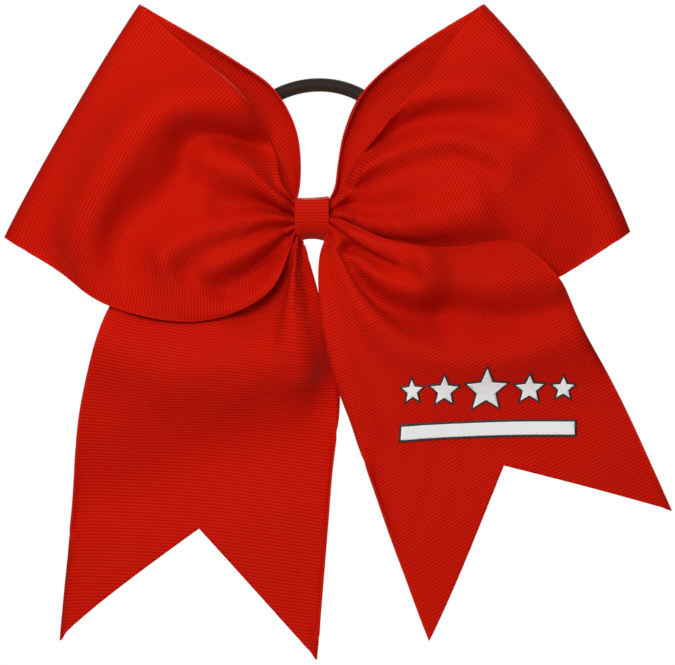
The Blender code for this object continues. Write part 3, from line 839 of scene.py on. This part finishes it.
def tie_line():
    """The tie's middle line, out of one side of the knot and over into the other, and the way along it."""
    points = [(TIE_END_X, TIE_Y, 0), (TIE_EXIT_X, TIE_Y, 0)]
    for step in range(2, TIE_STEPS - 1):
        angle = 2 * math.pi * step / TIE_STEPS
        along = TIE_HEIGHT / 2 * (1 - math.cos(angle))
        leave = min(angle, 2 * math.pi - angle, math.pi / 2)
        back = TIE_Y + along * math.sin(TIE_TILT) + TIE_SET_BACK * math.sin(leave) ** 2
        across = TIE_HALF_WIDTH * math.sin(angle) + TIE_LEAN * along / TIE_HEIGHT
        points.append((across, back, along * math.cos(TIE_TILT)))
    points += [(-TIE_EXIT_X, TIE_Y, 0), (-TIE_END_X, TIE_Y, 0)]
    path = smooth_path(points, 16)
    along = distances(path)
    want = np.linspace(0, along[-1], TIE_RINGS)
    return np.stack([np.interp(want, along, path[:, k]) for k in range(3)], -1), want


def tie_piece(name, finish):
    """The braided cover, hollow for the elastic, of two crossing sets of strands, and its middle line."""
    line, along = tie_line()
    ahead = unit(np.gradient(line, axis=0))
    aside = unit(np.cross(ahead, np.array([0.0, math.cos(TIE_TILT), -math.sin(TIE_TILT)])))
    up = np.cross(aside, ahead)
    angle = round_angles(TIE_SIDES)
    turn = 2 * math.pi * along[:, None] / BRAID_PITCH
    one = np.cos(BRAID_STRANDS / 2 * (angle[None, :] + turn))
    two = np.cos(BRAID_STRANDS / 2 * (angle[None, :] - turn))
    strands = np.maximum(np.abs(one), np.abs(two)) ** 2
    outer = TIE_RADIUS - BRAID_HEIGHT + BRAID_HEIGHT * strands
    inner = np.full_like(outer, TIE_RADIUS - TIE_WALL)
    round_it = aside[:, None] * np.cos(angle)[None, :, None] + up[:, None] * np.sin(angle)[None, :, None]
    points = np.concatenate([(line[:, None] + reach[..., None] * round_it).reshape(-1, 3)
                             for reach in (outer, inner)])
    count = TIE_RINGS * TIE_SIDES
    quads = ring_quads(TIE_RINGS, TIE_SIDES)
    faces = quads.tolist() + (quads[:, ::-1] + count).tolist()
    last = count - TIE_SIDES
    for j in range(TIE_SIDES):
        k = (j + 1) % TIE_SIDES
        faces.append([k, j, j + count, k + count])
        faces.append([last + j, last + k, last + k + count, last + j + count])
    mesh = finished_mesh(name, points, faces)
    # Painted shade for the material: raised strands lighter, grooves and the hidden inner wall darkest.
    set_painted_shade(mesh, [strands.ravel(), np.zeros(count)])
    return add_piece(name, mesh, finish), line


# -------------------- print

def star_outline(radius, margin):
    points = []
    for index in range(10):
        angle = math.pi / 2 + index * math.pi / 5
        reach = radius + margin * TIP_GROWTH if index % 2 == 0 else radius * STAR_WAIST + margin
        points.append((reach * math.cos(angle), reach * math.sin(angle)))
    return points


def star_places():
    """Where the stars' middles stand in their row, STAR_GAP apart at their tips."""
    reaches = [(radius + OUTLINE_MARGIN * TIP_GROWTH) * math.cos(math.pi / 10) for radius in STAR_RADII]
    places = [0.0]
    for before, after in zip(reaches, reaches[1:]):
        places.append(places[-1] + before + after + STAR_GAP)
    middle = places[len(places) // 2]
    return [place - middle for place in places]


def bar_outline(margin):
    x, y = BAR_SIZE[0] / 2 + margin, BAR_SIZE[1] / 2 + margin
    return [(-x, -y), (x, -y), (x, y), (-x, y)]


def print_axes(stretch):
    """Flat position of the print's middle on the tail, and the flat directions of its row and its height."""
    flat = np.array(PRINT_START)
    for _ in range(12):
        here, ahead, aside = (stretch.at(*(flat + d)[:, None])[0][[0, 2]] for d in
                              (np.zeros(2), np.array([0.5, 0]), np.array([0, 0.5])))
        slope = np.stack([ahead - here, aside - here], -1) / 0.5
        flat = flat + np.linalg.solve(slope, np.array(PRINT_CENTRE) - here)
    left, _, right = np.linalg.svd(np.linalg.inv(slope))
    turn = left @ right
    return flat, turn[:, 0], turn[:, 1]


def film_piece(name, outline, place, lift, stretch, axes, finish):
    """A piece of film pressed on the ribs, cut into rows and columns so that it follows them."""
    middle, row, rise = axes
    corners = [middle + row * (x + place[0]) + rise * (y + place[1]) for x, y in outline]
    bm = bmesh.new()
    bm.faces.new([bm.verts.new((*corner, 0)) for corner in corners])
    bmesh.ops.recalc_face_normals(bm, faces=bm.faces)
    if bm.faces[:][0].normal.z < 0:
        bmesh.ops.reverse_faces(bm, faces=bm.faces)
    low, high = np.min(corners, axis=0), np.max(corners, axis=0)
    for axis, step in enumerate(FILM_STEPS):
        normal = (1 - axis, axis, 0)
        for line in np.arange(math.ceil(low[axis] / step), math.floor(high[axis] / step) + 1) * step:
            bmesh.ops.bisect_plane(bm, geom=bm.verts[:] + bm.edges[:] + bm.faces[:],
                                   plane_co=(line * (1 - axis), line * axis, 0), plane_no=normal, dist=1e-5)
    bmesh.ops.triangulate(bm, faces=[f for f in bm.faces if len(f.verts) > 4])
    facing = -np.sign(stretch.out(*middle[:, None])[0, 1])

    def laid(along, across):
        off = lift + FILM_RIBS * rib_height(along, across)[0]
        return stretch.at(along, across) + stretch.out(along, across) * facing * off[:, None]

    def level(along, across):
        return np.zeros(len(along)), np.ones(len(along))

    return add_piece(name, thick_mesh(name, bm, laid, stretch.out, FILM_HALF, level), finish)


def add_print(stretch, black, white):
    """Five stars over a bar: white faces on wider black outlines."""
    axes = print_axes(stretch)
    places = star_places()
    for layer, margin, finish, slot in (
        ("outline", OUTLINE_MARGIN, black, "black_film"),
        ("face", 0, white, "white_film"),
    ):
        shapes = [(f"star_{layer}_{number}", star_outline(radius, margin), (place, STAR_HEIGHT))
                  for number, (radius, place) in enumerate(zip(STAR_RADII, places), 1)]
        shapes.append((f"bar_{layer}", bar_outline(margin), (0, BAR_DROP)))
        for name, outline, place in shapes:
            made = film_piece(name + "_film", outline, place, FILM_LIFTS[layer], stretch, axes, finish)
            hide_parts(name)
            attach(made, "right_tail")


# -------------------- materials

class Finish:
    """A principled material and the few nodes that these finishes are made of."""

    def __init__(self, name, colour, roughness):
        self.material = bpy.data.materials.new(name)
        self.material.use_nodes = True
        self.nodes = self.material.node_tree.nodes
        self.links = self.material.node_tree.links
        self.shader = self.nodes["Principled BSDF"]
        self.set(self.shader, {"Base Color": (*colour, 1), "Roughness": roughness})

    def set(self, node, values):
        for socket, value in values.items():
            node.inputs[socket].default_value = value

    def add(self, kind, **values):
        node = self.nodes.new(kind)
        self.set(node, values)
        return node

    def ramp(self, source, dark, bright, start=0.0, end=1.0):
        """Colours the shader from dark to bright by source."""
        ramp = self.add("ShaderNodeValToRGB")
        for element, colour, position in zip(ramp.color_ramp.elements, (dark, bright), (start, end)):
            element.color = (*colour, 1)
            element.position = position
        self.links.new(source, ramp.inputs["Fac"])
        self.links.new(ramp.outputs["Color"], self.shader.inputs["Base Color"])

    def bump(self, height, strength, distance):
        bump = self.add("ShaderNodeBump", Strength=strength, Distance=distance)
        self.links.new(height, bump.inputs["Height"])
        self.links.new(bump.outputs["Normal"], self.shader.inputs["Normal"])

    def painted_groove_shade(self):
        # The mesh attribute that carries the painted shade between ribs and between braid strands.
        painted_groove_shade = self.add("ShaderNodeAttribute")
        painted_groove_shade.attribute_name = "painted_groove_shade"
        return painted_groove_shade.outputs["Fac"]


def grosgrain(name, groove_shade_colour, bright):
    """Ribbed ribbon: painted shade makes it darker between the ribs; fine warp threads along it and a soft
    sheen.
    """
    finish = Finish(name, bright, 0.56)
    # Painted shade: the first colour is the shade painted between the ribs, the second the ribbon's own red.
    finish.ramp(finish.painted_groove_shade(), groove_shade_colour, bright, 0.0, 0.75)
    coordinates = finish.add("ShaderNodeUVMap")
    coordinates.uv_map = "UVMap"
    threads = finish.add("ShaderNodeTexWave", Scale=120.0, Distortion=0.6)
    threads.bands_direction = "Y"
    finish.links.new(coordinates.outputs["UV"], threads.inputs["Vector"])
    finish.bump(threads.outputs["Fac"], 0.12, 0.00005)
    finish.set(finish.shader, {
        "Specular IOR Level": 0.06, "Specular Tint": (1.0, 0.2, 0.15, 1),
        "Sheen Weight": 0.06, "Sheen Roughness": 0.4, "Sheen Tint": (1.0, 0.08, 0.05, 1),
    })
    return finish.material


def braid_cover(name):
    """Umber knitted cover, with painted shade: darker in the grooves between strands and lighter on the
    strands that come to the top.
    """
    finish = Finish(name, (0.02, 0.015, 0.012), 0.7)
    # Painted shade: dark in the grooves, lighter on the raised strands.
    finish.ramp(finish.painted_groove_shade(), (0.004, 0.003, 0.002), (0.026, 0.017, 0.010))
    noise = finish.add("ShaderNodeTexNoise", Scale=9000.0)
    finish.bump(noise.outputs["Fac"], 0.4, 0.00005)
    finish.set(finish.shader, {
        "Specular IOR Level": 0.25, "Sheen Weight": 0.12, "Sheen Roughness": 0.5,
        "Sheen Tint": (1.0, 0.8, 0.6, 1),
    })
    return finish.material


def noisy(name, colour, varied, roughness, scale, bump_height):
    """A plain solid colour with a little variation and surface grain."""
    finish = Finish(name, colour, roughness)
    noise = finish.add("ShaderNodeTexNoise", Scale=scale, Detail=4.0)
    finish.ramp(noise.outputs["Fac"], varied, colour, 0.3, 0.7)
    finish.bump(noise.outputs["Fac"], 0.3, bump_height)
    return finish.material


def twisted_thread(name):
    """Waxed thread, its strands lying at a slant."""
    finish = Finish(name, (0.35, 0.01, 0.01), 0.5)
    place = finish.add("ShaderNodeTexCoord")
    strands = finish.add("ShaderNodeTexWave", Scale=900.0)
    strands.bands_direction = "DIAGONAL"
    finish.links.new(place.outputs["Object"], strands.inputs["Vector"])
    finish.ramp(strands.outputs["Fac"], (0.2, 0.004, 0.004), (0.4, 0.012, 0.01))
    finish.bump(strands.outputs["Fac"], 0.5, 0.0001)
    return finish.material


def dress_node(name, finish):
    """Gives a carried-over CAD node its finish."""
    node = bpy.data.objects[name]
    node.data.materials.clear()
    node.data.materials.append(finish)


# -------------------- scene

def build_ribbons():
    """The four free stretches of the ribbon. Each tail is kept clear of the loop layers beside it, and the
    right tail also of the left tail.
    """
    # First colour: painted shade between the ribs; second: the ribbon's own red.
    ribbon = grosgrain("grosgrain_red", (0.36, 0.003, 0.001), (0.58, 0.010, 0.003))
    left_loop, right_loop = relaxed_loop(LEFT_LOOP), relaxed_loop(RIGHT_LOOP)
    left_front, left_back = Layer(left_loop.grid[:LOOP_ROWS + 1]), Layer(left_loop.grid[LOOP_ROWS:])
    right_front = Layer(right_loop.grid[:LOOP_ROWS + 1])
    left_tail = relaxed_tail(LEFT_TAIL, [left_front], [left_back])
    right_tail = relaxed_tail(RIGHT_TAIL, [], [right_front, Layer(left_tail.grid)])
    for name, stretch in (("left_loop", left_loop), ("right_loop", right_loop),
                          ("left_tail", left_tail), ("right_tail", right_tail)):
        made = ribbon_piece(name + "_ribbon", stretch, ribbon)
        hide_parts(name)
        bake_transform(made)
        width, length, area = stretch.cut_size()
        print(f"{name}: {width:.1f} x {length:.1f} mm flat, {area / 100:.1f} cm2")
    add_print(right_tail,
              noisy("film_black", (0.010, 0.010, 0.010), (0.016, 0.015, 0.015), 0.5, 1500, 0.00003),
              noisy("film_white", (0.90, 0.90, 0.89), (0.84, 0.84, 0.83), 0.5, 1200, 0.00003))
    return ribbon


def build_knot(ribbon):
    # First colour: painted shade between the ribs; second: the wrap's own red.
    wrap = grosgrain("grosgrain_wrap", (0.34, 0.003, 0.001), (0.56, 0.010, 0.003))
    glue = noisy("hot_melt", (0.82, 0.77, 0.62), (0.72, 0.65, 0.48), 0.28, 600, 0.00005)
    for made, node, slot in (
        # This mesh carries no shade attribute, so it takes the ribbon's painted shade colour from between the
        # ribs all over.
        (core_piece("knot_gathers", ribbon), "knot_core", "ribbon"),
        (wrap_piece("centre_wrap_ribbon", wrap), "centre_wrap", "wrap_ribbon"),
        (glue_piece("wrap_glue_bead", glue), "wrap_glue", "glue"),
    ):
        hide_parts(node)
        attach(made, "knot")
    dress_node("cinch_thread", twisted_thread("waxed_thread"))


def build_tie():
    tie, line = tie_piece("hair_tie_braid", braid_cover("braided_cover"))
    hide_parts("hair_tie_cover")
    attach(tie, "hair_tie")
    latex = noisy("elastic_latex", (0.34, 0.27, 0.19), (0.26, 0.20, 0.13), 0.6, 900, 0.00005)
    joint = noisy("bonded_joint", (0.014, 0.013, 0.013), (0.03, 0.026, 0.022), 0.45, 700, 0.00008)
    dress_node("hair_tie_core", latex)
    dress_node("hair_tie_splice", joint)


def add_camera(scene):
    data = bpy.data.cameras.new("camera")
    data.sensor_width = SENSOR_WIDTH
    data.lens = SENSOR_WIDTH * CAMERA_DISTANCE / VIEW_WIDTH
    camera = bpy.data.objects.new("camera", data)
    camera.location = (CAMERA_X, KNOT[1] - CAMERA_DISTANCE, CAMERA_Z)
    camera.rotation_euler = (math.pi / 2, 0, 0)
    scene.collection.objects.link(camera)
    scene.camera = camera


def add_lights(scene):
    for name, place, size, power, aim in LIGHTS:
        data = bpy.data.lights.new(name, "AREA")
        data.size = size
        data.energy = power
        light = bpy.data.objects.new(name, data)
        light.location = place
        light.rotation_euler = (Vector(aim) - Vector(place)).to_track_quat("-Z", "Y").to_euler()
        scene.collection.objects.link(light)


def add_surround(scene):
    """A white surround: full white as a backdrop, and weak as a light."""
    world = bpy.data.worlds.new("studio")
    scene.world = world
    world.use_nodes = True
    nodes, links = world.node_tree.nodes, world.node_tree.links
    background = nodes["Background"]
    background.inputs["Color"].default_value = (1, 1, 1, 1)
    path = nodes.new("ShaderNodeLightPath")
    level = nodes.new("ShaderNodeMapRange")
    level.inputs["To Min"].default_value = SURROUND
    level.inputs["To Max"].default_value = 1.0
    links.new(path.outputs["Is Camera Ray"], level.inputs["Value"])
    links.new(level.outputs["Result"], background.inputs["Strength"])


def add_floor():
    bpy.ops.mesh.primitive_circle_add(vertices=96, radius=FLOOR_RADIUS, fill_type="NGON",
                                      location=(0, 0, FLOOR_Z))
    floor = bpy.context.object
    floor.name = "floor"
    floor.data.materials.append(Finish("floor_pale", (0.85, 0.85, 0.85), 0.8).material)


build_knot(build_ribbons())
build_tie()

scene = bpy.context.scene
scene.view_settings.view_transform = "Standard"
add_camera(scene)
add_lights(scene)
add_surround(scene)
add_floor()
